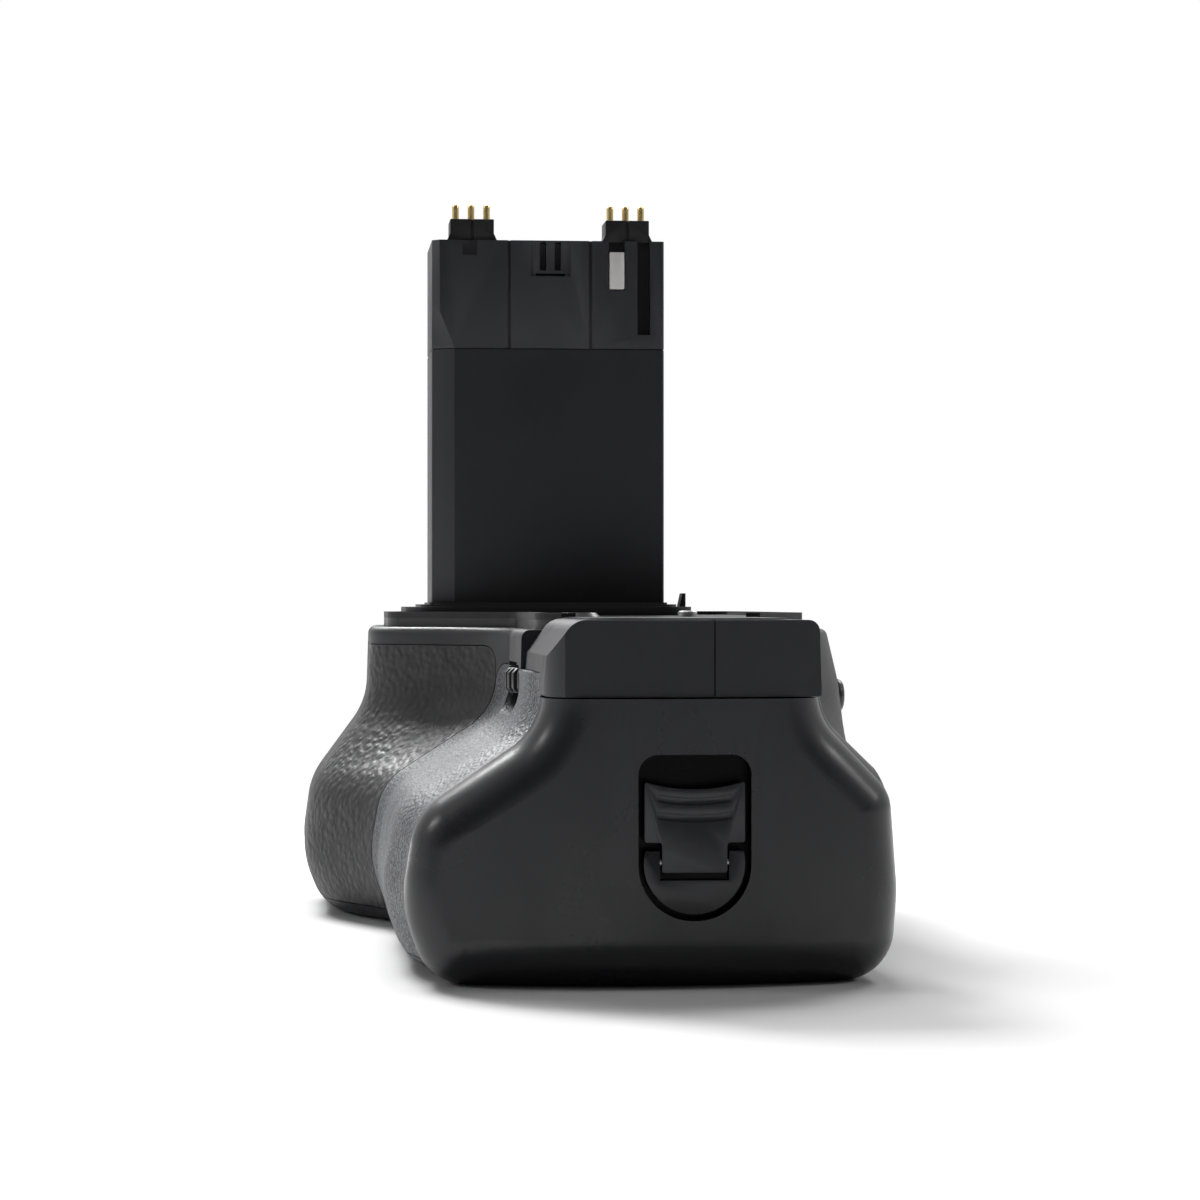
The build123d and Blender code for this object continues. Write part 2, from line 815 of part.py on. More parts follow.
def pin_places():
    places = []
    for middle in (block_front_y, block_rear_y):
        for i in (-1, 0, 1):
            places.append((pin_row_x, middle + i * pin_pitch))
    return places


def contact_block(middle_y):
    top = tower_top_height + block_height
    flare = block_height * block_flare_share
    points = [
        (middle_y - block_base_width / 2, tower_top_height),
        (middle_y + block_base_width / 2, tower_top_height),
        (middle_y + block_top_width / 2, tower_top_height + flare),
        (middle_y + block_top_width / 2, top),
        (middle_y - block_top_width / 2, top),
        (middle_y - block_top_width / 2, tower_top_height + flare),
    ]
    body = across_prism(points, pin_radius / 4, (block_far_x, block_near_x))
    body -= block((block_near_x - head_groove, block_near_x + overrun), (middle_y - head_groove / 2, middle_y + head_groove / 2),
                  (tower_top_height - overrun, top + overrun))
    for x, y in pin_places():
        body -= upright(x, y, pin_radius + running_gap, (tower_top_height - overrun, top + overrun))
    return body


def contact_pin(x, y):
    tip = tower_top_height + block_height + pin_stand
    shaft = upright(x, y, pin_radius, (pin_foot_height, tip))
    return fillet(shaft.edges().sort_by(Axis.Z)[-1], pin_radius * near_full_share)


def sensing_tab():
    near = tower_near_x
    tab = block((near - channel_depth, near + tab_proud), (tab_y - tab_width / 2, tab_y + tab_width / 2), (tab_low_height, tab_high_height))
    return tab


def attachment_wheel():
    """Ribbed wheel that turns the screw, with its rim bevelled above and below."""
    low, high = wheel_low_height, wheel_high_height
    root = wheel_radius - wheel_rib_depth
    pitch = 2 * math.pi * root / wheel_ribs
    rim = Sketch() + Circle(root)
    rim += PolarLocations(root, wheel_ribs) * Rectangle(2 * wheel_rib_depth, pitch * rib_width_share)
    disc = Pos(0, 0, at_height(low)) * extrude(rim, amount=high - low)
    bound = chamfer(upright(0, 0, wheel_radius, (low, high)).edges(), wheel_rib_depth)
    return (disc & bound) - upright(0, 0, screw_neck_radius, (low - overrun, high + overrun))


def attachment_screw():
    """Captive screw: a thread over the bush, and a narrower neck that the bush and the wheel hold."""
    thread_low = grip_height - well_depth + slide_gap
    thread = upright(0, 0, screw_radius, (thread_low, grip_height + screw_tip))
    thread = chamfer(thread.edges().sort_by(Axis.Z)[-1], screw_tip)
    return thread + upright(0, 0, screw_neck_radius, (screw_foot_height, thread_low))


def screw_bush():
    top = grip_height - well_depth
    body = upright(0, 0, bush_radius - fit_gap / 3, (top - bush_length, top))
    return body - upright(0, 0, screw_neck_radius + running_gap, (top - bush_length - overrun, top + overrun))


def locating_pin():
    """Pin that stands on a relieved neck, so that the camera's hole seats over its full width."""
    head_low = grip_height + fit_gap
    head = upright(0, locating_pin_y, locating_pin_radius, (head_low, grip_height + locating_pin_stand))
    head = chamfer(head.edges().sort_by(Axis.Z)[-1], locating_pin_tip)
    return head + upright(0, locating_pin_y, locating_pin_neck_radius, (plate_low - wall / 2, head_low))


def tripod_socket():
    flange = upright(0, 0, socket_flange - fit_gap, (base_pad_thickness / 4, base_screw_height))
    body = flange + upright(0, 0, socket_radius + socket_wall - fit_gap, (base_pad_thickness / 4, socket_depth + base_pad_thickness / 4))
    return body - upright(0, 0, socket_radius, (-overrun, socket_depth + overrun))


def base_pad():
    """Rubber pad round the tripod socket, flush with the base."""
    pad = base_pad_solid(0)
    return pad - upright(0, 0, socket_flange, (-overrun, base_pad_thickness + overrun))


def battery_chamber():
    """Tunnel that the magazine slides in, with the post that steadies the foot of the screw."""
    low = chamber_low - chamber_wall
    high = chamber_high + chamber_wall
    tunnel = block(liner_span, liner_y, (low, high))
    tunnel -= block((chamber_far_x, frame_far_x + overrun), chamber_y, (chamber_low, chamber_high))
    tunnel += upright(0, 0, post_radius, (high - chamber_wall / 2, wheel_low_height - free_gap - slide_gap))
    tunnel -= upright(0, 0, screw_neck_radius + running_gap, (screw_foot_height - slide_gap, grip_height))
    tunnel -= upright(0, 0, socket_radius + socket_wall, (0, chamber_low + overrun))
    for x in board_x:
        tunnel += block((x - chamber_wall, x + chamber_wall), board_y, (high - chamber_wall / 2, high + board_lift))
    for x, y in base_screw_places():
        tunnel -= upright(x, y, base_screw_radius, (0, wall + base_screw_radius + slide_gap))
    return tunnel


def chamber_connector():
    """Block at the chamber's far end whose blades meet the magazine."""
    x_span = (chamber_far_x, tray_far_x - slide_gap)
    middle = tray_y
    body = block(x_span, (middle - connector_width / 2, middle + connector_width / 2), (chamber_low, chamber_low + connector_height))
    return body


def circuit_board():
    low = chamber_high + chamber_wall + board_lift
    inner = (board_x[0] - chamber_wall, board_x[1] + chamber_wall)
    return block(inner, board_y, (low, low + board_thickness))


def board_chips():
    low = chamber_high + chamber_wall + board_lift + board_thickness
    chips = []
    for share, size in zip(chip_place_shares, chip_sizes):
        x = mix(board_x[0], board_x[1], share)
        y = mix(board_y[0], board_y[1], share)
        chips.append(block((x - size / 2, x + size / 2), (y - size / 2, y + size / 2), (low, low + board_thickness)))
    return Compound(children=chips)


def end_frame():
    """Plate that closes the housing behind the battery door, with the keepers of the latch."""
    frame = cavity & block((frame_far_x, door_seat_x), (-near_front_depth, near_rear_depth), (0, neck_base_height))
    frame -= block((frame_far_x - overrun, door_seat_x + overrun), chamber_y, (chamber_low, chamber_high))
    low, high = bolt_heights[0] - slide_gap, bolt_heights[1] + slide_gap
    for tip, way in ((bolt_front_tip, 1), (bolt_rear_tip, -1)):
        outer = tip - way * (slide_gap + keeper_wall)
        inner = tip + way * keeper_depth
        stop = tip - way * slide_gap
        fork = block((door_seat_x, bolt_x[1]), (outer, inner), (low - keeper_wall, high + keeper_wall))
        frame += fork - block((door_seat_x, bolt_x[1] + overrun), (stop, inner + way * overrun), (low, high))
    return frame


def battery_tray():
    """Open tray with two bays end to end."""
    side_top = tray_side_height
    tray = block((tray_far_x, tray_near_x), (tray_y - tray_half, tray_y + tray_half), (tray_floor_height, side_top))
    for i in range(2):
        bay_near = tray_near_x - tray_wall - i * bay_pitch
        bay = (bay_near - bay_length - contact_block_depth, bay_near)
        tray -= block(bay, (tray_y - bay_width / 2, tray_y + bay_width / 2), (battery_base, side_top + overrun))
        window = (mix(*bay, window_share), mix(*bay, 1 - window_share))
        tray -= side_prism(rectangle(window, (battery_base + tray_wall, side_top - tray_wall)), tray_wall,
                           (tray_y - tray_half - overrun, tray_y + tray_half + overrun))
        tray -= slab(rectangle(window, (tray_y - bay_width / 4, tray_y + bay_width / 4)), tray_wall * 2,
                     (tray_floor_height - overrun, battery_base + overrun))
    return tray


def bay_contact_blocks():
    blocks = []
    for i in range(2):
        far = tray_near_x - tray_wall - i * bay_pitch - bay_length - contact_block_depth
        span = (far, far + contact_block_depth)
        width = blade_count * 2 * blade_width * 2
        block_y = (tray_y - width / 2, tray_y + width / 2)
        body = block(span, block_y, (battery_base, side_contact_height))
        for y in blade_places():
            body -= block((span[1] - blade_sink, span[1] + overrun), (y - blade_width / 2, y + blade_width / 2),
                          (battery_base + blade_width, side_contact_height + overrun))
        blocks.append(body)
    return Compound(children=blocks)


def blade_places():
    return [tray_y + (i - (blade_count - 1) / 2) * 2 * blade_width * 2 for i in range(blade_count)]


def bay_blades():
    """Sprung contact blades in the blocks of both bays."""
    blades = []
    for i in range(2):
        near = tray_near_x - tray_wall - i * bay_pitch - bay_length
        for y in blade_places():
            blades.append(block((near - blade_sink, near - blade_sink / 2), (y - blade_width / 2, y + blade_width / 2),
                                (battery_base + blade_width, side_contact_height)))
    return Compound(children=blades)


def door_face(inset, x):
    """The door's own outline, moved in by inset and cut level under the near top."""
    top = at_height(door_top_height) - inset
    face = body_section(x, inset)
    keep = Plane.YZ.offset(x) * Pos(0, top - grip_height / 2) * Rectangle(2 * hand_front_depth, grip_height)
    return face & keep


def crown(inset):
    """Large upright cylinder whose side is the door's slightly rounded face."""
    radius = door_crown_radius
    middle = (near_rear_depth - door_front_depth) / 2
    return upright(door_crown_x - radius, middle, radius - inset, (-overrun, grip_height))


def latch_recess(grown, x_span):
    radius = recess_radius + grown
    corner = recess_corner + grown
    low = knob_height - radius
    high = recess_top_height + grown
    points = [(latch_y - radius, high), (latch_y - radius, low), (latch_y + radius, low), (latch_y + radius, high)]
    full = radius * near_full_share
    return across_prism(points, [corner, full, full, corner], x_span)


def battery_door():
    """Hollow end cover of the magazine, with its rounded rim and the latch's recess."""
    start = door_seat_x + door_gap
    door = extrude(door_face(0, start), amount=door_crown_x - start + overrun) & crown(0)
    near_face = door.faces().sort_by(Axis.X)[-1]
    rim = [e for e in near_face.edges() if e.center().Z < at_height(door_top_height) - edge_break]
    door = fillet(rim, door_round)
    pocket = extrude(door_face(door_wall, start), amount=door_crown_x - start) & crown(door_face_wall)
    pocket -= latch_recess(recess_floor_wall, (recess_floor_x - recess_floor_wall, door_crown_x))
    for y, height in door_screw_places():
        pocket -= along_x(y, height, door_boss_radius, (plate_x[1], door_crown_x))
    door -= pocket
    door -= latch_recess(0, (recess_floor_x, door_crown_x + overrun))
    door -= along_x(latch_y, knob_height, knob_shaft_radius + fit_gap, (recess_floor_x - 2 * recess_floor_wall, recess_floor_x + overrun))
    for y, height in door_screw_places():
        door -= along_x(y, height, base_screw_radius / 2, (start, plate_x[1] + base_screw_radius))
    return door


def door_screw_places():
    return [(y, height) for y in (tray_y - door_screw_spread, tray_y + door_screw_spread) for height in (door_screw_low, door_screw_high)]


def latch_plate():
    """Sheet that ties the door to the tray and carries the bolts."""
    spread = door_screw_spread + door_boss_radius
    points = [(tray_y - spread, door_screw_low - door_boss_radius), (tray_y + spread, door_screw_low - door_boss_radius),
              (tray_y + spread, door_screw_high + door_boss_radius), (tray_y - spread, door_screw_high + door_boss_radius)]
    plate = across_prism(points, door_boss_radius / 2, plate_x)
    for y, height in door_screw_places():
        plate -= along_x(y, height, base_screw_radius / 2, (plate_x[0] - overrun, plate_x[1] + overrun))
    return plate


def door_screws():
    screws = []
    for y, height in door_screw_places():
        screws.append(along_x(y, height, base_screw_radius / 2, (plate_x[0], plate_x[1] + base_screw_radius)))
    return Compound(children=screws)


def latch_knob():
    """Half-moon base that the lever folds out of, with its shaft and cam."""
    base_x = (recess_floor_x + fit_gap, knob_face_x)
    disc = along_x(latch_y, knob_height, knob_radius, base_x)
    far_height = knob_height + 2 * knob_radius
    disc -= block((base_x[0] - overrun, base_x[1] + overrun), (latch_y - 2 * knob_radius, latch_y + 2 * knob_radius), (ear_top_height, far_height))
    notch = block((notch_floor_x, base_x[1] + overrun), (latch_y - notch_width / 2, latch_y + notch_width / 2), (notch_low_height, far_height))
    disc -= notch
    disc -= along_y(lever_axis_x, lever_pin_height, lever_pin_radius, (latch_y - pin_half_length, latch_y + pin_half_length))
    disc += along_x(latch_y, knob_height - knob_shaft_drop, knob_shaft_radius - knob_shaft_drop, (cam_x[0], base_x[0]))
    disc += along_x(latch_y, knob_height, cam_radius, cam_x)
    return disc


def lever_pin():
    return along_y(lever_axis_x, lever_pin_height, lever_pin_radius, (latch_y - pin_half_length, latch_y + pin_half_length))


def latch_lever():
    """T-shaped lever that lies in the recess and folds out on its pin."""
    wide, slim = lever_width / 2, lever_tab_width / 2
    top, shoulder, foot = lever_top_height, lever_shoulder_height, lever_tab_height
    points = [
        (latch_y - slim, foot), (latch_y + slim, foot), (latch_y + slim, shoulder), (latch_y + wide, shoulder),
        (latch_y + wide, top), (latch_y - wide, top), (latch_y - wide, shoulder), (latch_y - slim, shoulder),
    ]
    lever = across_prism(points, edge_break, (lever_back_x, lever_face_x))
    sweep = (wide ** 2 + lever_dip ** 2) / (2 * lever_dip)
    centre = top - lever_dip + sweep
    lever -= along_x(latch_y, centre, sweep, (lever_back_x - overrun, lever_face_x + overrun))
    groove_x = (lever_face_x - lever_groove_depth, lever_face_x + overrun)
    inside = block(groove_x, (latch_y - lever_groove_width / 2, latch_y + lever_groove_width / 2), (foot, top))
    for drop in lever_groove_drops:
        ring = along_x(latch_y, centre, sweep + drop + lever_groove_band, groove_x)
        ring -= along_x(latch_y, centre, sweep + drop, groove_x)
        lever -= ring & inside
    back = lever_back_x
    heel = [(back - edge_break, foot - edge_break), (back + 3 * edge_break, foot - edge_break), (back - edge_break, foot + 3 * edge_break)]
    lever -= side_prism(heel, edge_break / 8, (latch_y - wide, latch_y + wide))
    return lever - along_y(lever_axis_x, lever_pin_height, lever_pin_radius + running_gap, (latch_y - wide, latch_y + wide))


def latch_bolt(tip, way):
    """Flat bolt from under the cam to its keeper."""
    root = latch_y - way * (bolt_travel + slide_gap)
    bolt = block(bolt_x, sorted((tip, root)), bolt_heights)
    ends = [e for e in bolt.edges() if abs(e.center().Y - tip) < fit_gap]
    return chamfer(ends, edge_break)


def shutter_button():
    cap_x = (far_x - shutter_stand, far_x + shutter_skirt)
    cap = along_x(shutter_y, shutter_height, shutter_radius, cap_x)
    cap = fillet(cap.edges().sort_by(Axis.X)[0], shutter_stand / 2)
    flange = along_x(shutter_y, shutter_height, shutter_radius + 2 * slide_gap, (far_x + shutter_skirt - chamber_wall, far_x + shutter_skirt))
    return cap + flange


def function_button():
    cap_x = (far_x - small_button_stand, far_x + shutter_skirt)
    cap = along_x(function_y, function_height, function_radius, cap_x)
    return fillet(cap.edges().sort_by(Axis.X)[0], small_button_stand / 2)


def main_dial():
    """Ribbed dial on its own shaft, standing a little proud of the far end."""
    root = dial_radius - dial_rib_depth
    pitch = 2 * math.pi * root / dial_ribs
    rim = Sketch() + Circle(root)
    rim += PolarLocations(root, dial_ribs) * Rectangle(2 * dial_rib_depth, pitch * rib_width_share)
    disc = extrude(rim, amount=dial_width)
    placed = Pos(dial_x, dial_y + dial_width / 2, at_height(dial_height)) * Rot(90, 0, 0) * disc
    bound = along_y(dial_x, dial_height, dial_radius, (dial_y - dial_width / 2, dial_y + dial_width / 2))
    return (placed & bound) - along_y(dial_x, dial_height, dial_shaft_radius, (dial_y - dial_width, dial_y + dial_width))


def dial_shaft():
    reach = dial_width / 2 + slide_gap + bracket_wall
    return along_y(dial_x, dial_height, dial_shaft_radius, (dial_y - reach, dial_y + reach))


def dial_bracket():
    """Yoke that carries the dial's shaft inside the far end."""
    inner = dial_width / 2 + slide_gap
    outer = inner + bracket_wall
    back = dial_x + dial_radius + slide_gap
    low, high = dial_height - bracket_half_height, dial_height + bracket_half_height
    yoke = block((far_x + wall, back + bracket_wall), (dial_y - outer, dial_y + outer), (low, high))
    yoke -= block((far_x, back), (dial_y - inner, dial_y + inner), (low - overrun, high + overrun))
    yoke = yoke & cavity
    return yoke - along_y(dial_x, dial_height, dial_shaft_radius + running_gap, (dial_y - outer - overrun, dial_y + outer + overrun))


def power_switch():
    face_x = (far_x - switch_stand, far_x - slide_gap)
    knob = along_x(switch_y, switch_height, switch_radius, face_x)
    arm = block((face_x[0], face_x[1]), (switch_y, switch_y + switch_arm), (switch_height - switch_stem_radius / 2, switch_height + switch_stem_radius / 2))
    stem = along_x(switch_y, switch_height, switch_stem_radius, (far_x - slide_gap, far_x + 2 * wall))
    return knob + arm + stem


def rear_button(x):
    face_y = rear_button_face_y + small_button_stand
    cap = along_y(x, rear_button_height, rear_button_radius, (face_y - rear_button_length, face_y))
    return fillet(cap.edges().sort_by(Axis.Y)[-1], small_button_stand / 2)


def stick_cap():
    """Thumb stick with its stem and the ball that it tilts on."""
    face_y = stick_face_y + stick_stand
    cap = along_y(stick_x, stick_height, stick_radius, (stick_face_y - stick_stand, face_y))
    cap = fillet(cap.edges().sort_by(Axis.Y)[-1], stick_stand)
    stem = along_y(stick_x, stick_height, stick_stem_radius, (stick_pivot_y, stick_face_y))
    ball = Pos(stick_x, stick_pivot_y, at_height(stick_height)) * Sphere(stick_stem_radius * 1.5)
    return cap + stem + ball


def stick_gimbal():
    """Ring that tilts up and down and lets the stick tilt sideways in it."""
    half = stick_ring_depth / 2
    ring = along_y(stick_x, stick_height, stick_ring_radius, (stick_pivot_y - half, stick_pivot_y + half))
    ring -= Pos(stick_x, stick_pivot_y, at_height(stick_height)) * Sphere(stick_stem_radius * 1.5 + slide_gap)
    return ring


def stick_housing():
    """Box behind the skin that carries the stick."""
    half = stick_box_half
    box = block((stick_x - half, stick_x + half), (stick_pivot_y - half, stick_seat_y), (stick_height - half, stick_height + half))
    hollow = along_y(stick_x, stick_height, stick_ring_radius + slide_gap, (stick_pivot_y - stick_ring_radius - slide_gap, pod_rear_depth))
    return box - hollow


parts = {}

# Skin and rind
outer_skin = over_floor(body_skin(0, door_seat_x))
rind_floor = inner_form(rind_depth, door_seat_x + overrun)
cavity = inner_form(wall, door_seat_x + overrun)

front_rubber_outline = [
    (hand_start_x - neck_round, wall),
    (door_seat_x - rim_width, wall),
    (door_seat_x - rim_width, rubber_top_height),
    (hand_start_x - neck_round, rubber_top_height),
]
leather_outline = rectangle((far_x + far_round, hand_start_x - neck_round - 2 * fit_gap), (wall, leather_top_height))
thumb_outline = rectangle((thumb_rubber_far_x, thumb_rubber_near_x), (wall * 2, thumb_rubber_top_height))
panel_outline = rectangle((panel_far_x, panel_near_x), (panel_low_height, panel_high_height))
front_reach = (-hand_front_depth - overrun, 0)
rear_reach = (seam_y + neck_rear_base / 2, pod_rear_depth + overrun)

front_rubber, front_rubber_seat = patch(front_rubber_outline, rubber_corner, front_reach)
front_rubber -= wheel_scoop(fit_gap)
leather, leather_seat = patch(leather_outline, rubber_corner, front_reach)
thumb_rubber, thumb_seat = patch(thumb_outline, rubber_corner, rear_reach)
panel, panel_seat = patch(panel_outline, rubber_corner, rear_reach)
for cut in rear_button_cuts():
    panel -= cut

whole_housing = housing()
front_room = block((far_x - overrun, door_crown_x), (-hand_front_depth - overrun, seam_y), (-overrun, grip_height + overrun))
parts["front_housing"] = whole_housing & front_room
parts["rear_housing"] = whole_housing - front_room
parts["front_rubber"] = front_rubber
parts["hand_grip_leather"] = leather
parts["thumb_rubber"] = thumb_rubber
parts["rear_button_panel"] = panel

parts["top_plate"] = top_plate()
parts["top_plate_screws"] = top_screws()
parts["gasket"] = gasket()
parts["tower_collar"] = tower_collar()
parts["door_spike"] = door_spike()
parts["tower_column"] = tower_column()
parts["tower_head"] = tower_head()
parts["front_contact_block"] = contact_block(block_front_y)
parts["rear_contact_block"] = contact_block(block_rear_y)
for number, place in enumerate(pin_places(), start=1):
    parts[f"contact_pin_{number}"] = contact_pin(*place)
parts["sensing_tab"] = sensing_tab()
parts["attachment_wheel"] = attachment_wheel()
parts["attachment_screw"] = attachment_screw()
parts["screw_bush"] = screw_bush()
parts["locating_pin"] = locating_pin()
parts["tripod_socket"] = tripod_socket()
parts["base_pad"] = base_pad()
parts["base_screws"] = base_screws()
parts["battery_chamber"] = battery_chamber()
parts["chamber_connector"] = chamber_connector()
parts["circuit_board"] = circuit_board()
parts["board_chips"] = board_chips()
parts["end_frame"] = end_frame()
parts["battery_tray"] = battery_tray()
parts["bay_contact_blocks"] = bay_contact_blocks()
parts["bay_blades"] = bay_blades()
parts["battery_door"] = battery_door()
parts["latch_plate"] = latch_plate()
parts["door_screws"] = door_screws()
parts["latch_knob"] = latch_knob()
parts["lever_pin"] = lever_pin()
parts["latch_lever"] = latch_lever()
parts["front_latch_bolt"] = latch_bolt(bolt_front_tip, 1)
parts["rear_latch_bolt"] = latch_bolt(bolt_rear_tip, -1)
parts["shutter_button"] = shutter_button()
parts["function_button"] = function_button()
parts["main_dial"] = main_dial()
parts["dial_shaft"] = dial_shaft()
parts["dial_bracket"] = dial_bracket()
parts["power_switch"] = power_switch()
for name, x in zip(("focus_button", "lock_button", "point_button"), rear_button_places):
    parts[name] = rear_button(x)
parts["stick_cap"] = stick_cap()
parts["stick_gimbal"] = stick_gimbal()
parts["stick_housing"] = stick_housing()


for name, shape in parts.items():
    print(name, len(shape.solids()), round(shape.volume))
    export_step(shape, f"parts/{name}.step")
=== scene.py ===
import json
import math

import bmesh
import bpy
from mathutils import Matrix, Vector


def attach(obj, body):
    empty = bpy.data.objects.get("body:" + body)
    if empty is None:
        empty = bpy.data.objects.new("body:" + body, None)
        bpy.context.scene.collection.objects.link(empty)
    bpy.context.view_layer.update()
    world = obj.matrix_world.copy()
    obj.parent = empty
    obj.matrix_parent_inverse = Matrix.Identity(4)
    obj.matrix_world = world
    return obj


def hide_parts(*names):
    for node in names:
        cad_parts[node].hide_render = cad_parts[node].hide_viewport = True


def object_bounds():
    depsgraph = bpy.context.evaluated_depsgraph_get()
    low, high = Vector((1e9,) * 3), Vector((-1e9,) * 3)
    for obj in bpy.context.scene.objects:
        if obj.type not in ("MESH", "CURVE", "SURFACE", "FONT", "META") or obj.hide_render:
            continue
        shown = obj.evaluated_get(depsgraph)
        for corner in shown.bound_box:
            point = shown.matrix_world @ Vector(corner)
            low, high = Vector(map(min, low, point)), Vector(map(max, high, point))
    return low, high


# A camera battery grip seen along its length from the battery door. Lengths are in metres, in the
# frame of the CAD model: +X runs to the battery door, -Y is the camera's front, +Z is up.
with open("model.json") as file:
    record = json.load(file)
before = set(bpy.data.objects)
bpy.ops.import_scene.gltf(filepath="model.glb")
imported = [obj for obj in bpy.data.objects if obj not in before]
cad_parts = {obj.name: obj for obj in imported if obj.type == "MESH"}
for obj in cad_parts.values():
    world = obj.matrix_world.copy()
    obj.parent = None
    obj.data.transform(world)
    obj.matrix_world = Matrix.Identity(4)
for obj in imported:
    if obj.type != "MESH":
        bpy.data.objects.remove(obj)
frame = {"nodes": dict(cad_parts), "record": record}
cad_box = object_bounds()
nodes = frame["nodes"]

MM = 0.001

# Camera, fitted to the photograph
PHOTO_SIZE = 1200
SENSOR = 36.0
FOCAL_PIXELS = 3276.0
CAMERA_PLACE = Vector((0.477, -0.0403, 0.002))
CAMERA_YAW = math.radians(5.2)
HORIZON_SHIFT = 0.0025
NEAR_CLIP = 0.01

# Floor, white beyond the far radius for the camera alone
FLOOR_HALF = 3.0
FLOOR_COLOR = (0.92, 0.92, 0.92)
FLOOR_ROUGHNESS = 0.9
FLOOR_NEAR = 0.16
FLOOR_FAR = 0.42

# Surroundings: their strength for diffuse and for mirrored rays, and the share that is left towards
# +X, reached between two values of the ray's X
WORLD_LIGHT = 0.20
WORLD_SHINE = 0.62
DARK_SIDE = 0.16
DARK_START = -0.1
DARK_FULL = 0.8

# Lamps: name, place, the point that each faces, side of the square and power in watts
LAMPS = [
    ("key", (-0.95, -0.36, 0.90), (0.02, 0, 0), 0.38, 19.5),
    ("over", (-0.60, -0.05, 1.10), (0, 0, 0), 0.5, 6.5),
    ("rim", (-0.80, 0.60, 0.80), (0.04, 0.02, 0), 0.35, 4.5),
    ("left", (-0.05, -0.90, 0.50), (0.05, 0, -0.02), 0.16, 0.8),
    ("right", (0.05, 0.90, 0.50), (0.05, 0, -0.02), 0.16, 1.0),
]

# Latch recess in the battery door, where shade is painted into the door's colour: rim, and the middle
# and half width along Y and Z
RECESS_RIM_X = 55.3 * MM
RECESS_Y = (10.3 * MM, 7.5 * MM)
RECESS_Z = (-28.4 * MM, 11.1 * MM)

# Softened copies of CAD nodes: vertices that close are one, faces this flat are joined, and edges
# are rounded over the crease angle and shaded sharp over the sharp angle
WELD = 0.002 * MM
FLAT_ANGLE = math.radians(0.6)
CREASE_ANGLE = math.radians(28)
SHARP_ANGLE = math.radians(40)
ROUND_STEPS = 2

# Parting seam of the housing, a near-black strip that paints the shadow in its gap: its place,
# section, and where it is laid down the near face and along the top
SEAM_Y = 13 * MM
SEAM_INSET = 0.02 * MM
SEAM_WIDTH = 0.24 * MM
SEAM_LIFT = 0.03 * MM
SEAM_TOP_SHARE = 0.6
SEAM_NEAR_HEIGHTS = (-10.0, -8.0, -6.0, -4.0, -2.4, -1.2, -0.6, -0.35)
SEAM_TOP_PLACES = (55.4, 54.0, 52.0, 50.4)
RAY_START_X = 0.2
RAY_START_Z = 0.05

# Materials shared by several recipes
PLASTIC_SPECULAR = 0.5
# Near-black of painted shade, and its low sheen, for the seam, the latch plate and the door's recess
SHADE_COLOR = (0.0012, 0.0012, 0.0014)
SHADE_SPECULAR = 0.1
NOISE_SPREAD = (0.3, 0.7)
WORN_POINTINESS = (0.53, 0.60)


class Graph:
    """A node tree with small helpers."""

    def __init__(self, tree):
        self.tree = tree

    def node(self, kind, **settings):
        made = self.tree.nodes.new(kind)
        for key, value in settings.items():
            setattr(made, key, value)
        return made

    def link(self, output, target):
        self.tree.links.new(output, target)

    def math(self, operation, first, second):
        """Sum, product or the like of two outputs."""
        made = self.node("ShaderNodeMath", operation=operation)
        self.link(first, made.inputs[0])
        self.link(second, made.inputs[1])
        return made.outputs[0]

    def remap(self, value, low, high, to_low, to_high, smooth=False):
        mapped = self.node("ShaderNodeMapRange")
        if smooth:
            mapped.interpolation_type = "SMOOTHSTEP"
        mapped.inputs["From Min"].default_value = low
        mapped.inputs["From Max"].default_value = high
        mapped.inputs["To Min"].default_value = to_low
        mapped.inputs["To Max"].default_value = to_high
        self.link(value, mapped.inputs["Value"])
        return mapped.outputs["Result"]


def add_object(name, data):
    made = bpy.data.objects.new(name, data)
    bpy.context.scene.collection.objects.link(made)
    return made


def add_camera():
    camera = bpy.data.cameras.new("camera")
    camera.sensor_width = SENSOR
    camera.lens = FOCAL_PIXELS / PHOTO_SIZE * SENSOR
    camera.shift_y = HORIZON_SHIFT
    camera.clip_start = NEAR_CLIP
    holder = add_object("camera", camera)
    holder.location = CAMERA_PLACE
    holder.rotation_euler = (math.pi / 2, 0, math.pi / 2 - CAMERA_YAW)
    bpy.context.scene.camera = holder


def add_lamp(name, place, target, side, power):
    lamp = bpy.data.lights.new(name, "AREA")
    lamp.shape = "RECTANGLE"
    lamp.size = side
    lamp.size_y = side
    lamp.energy = power
    holder = add_object(name, lamp)
    holder.location = place
    holder.rotation_euler = (Vector(target) - Vector(place)).to_track_quat("-Z", "Y").to_euler()


def add_world():
    """White surroundings, darker behind the camera for all rays but the camera's own."""
    world = bpy.data.worlds.new("studio")
    bpy.context.scene.world = world
    world.use_nodes = True
    g = Graph(world.node_tree)
    background = g.tree.nodes["Background"]
    background.inputs["Color"].default_value = (1, 1, 1, 1)
    path = g.node("ShaderNodeLightPath")
    mirrored = g.math("MAXIMUM", path.outputs["Is Glossy Ray"], path.outputs["Is Transmission Ray"])
    level = g.remap(mirrored, 0.0, 1.0, WORLD_LIGHT, WORLD_SHINE)
    way = g.node("ShaderNodeSeparateXYZ")
    g.link(g.node("ShaderNodeTexCoord").outputs["Generated"], way.inputs[0])
    side = g.remap(way.outputs["X"], DARK_START, DARK_FULL, 1.0, DARK_SIDE, smooth=True)
    strength = g.math("MAXIMUM", g.math("MULTIPLY", level, side), path.outputs["Is Camera Ray"])
    g.link(strength, background.inputs["Strength"])


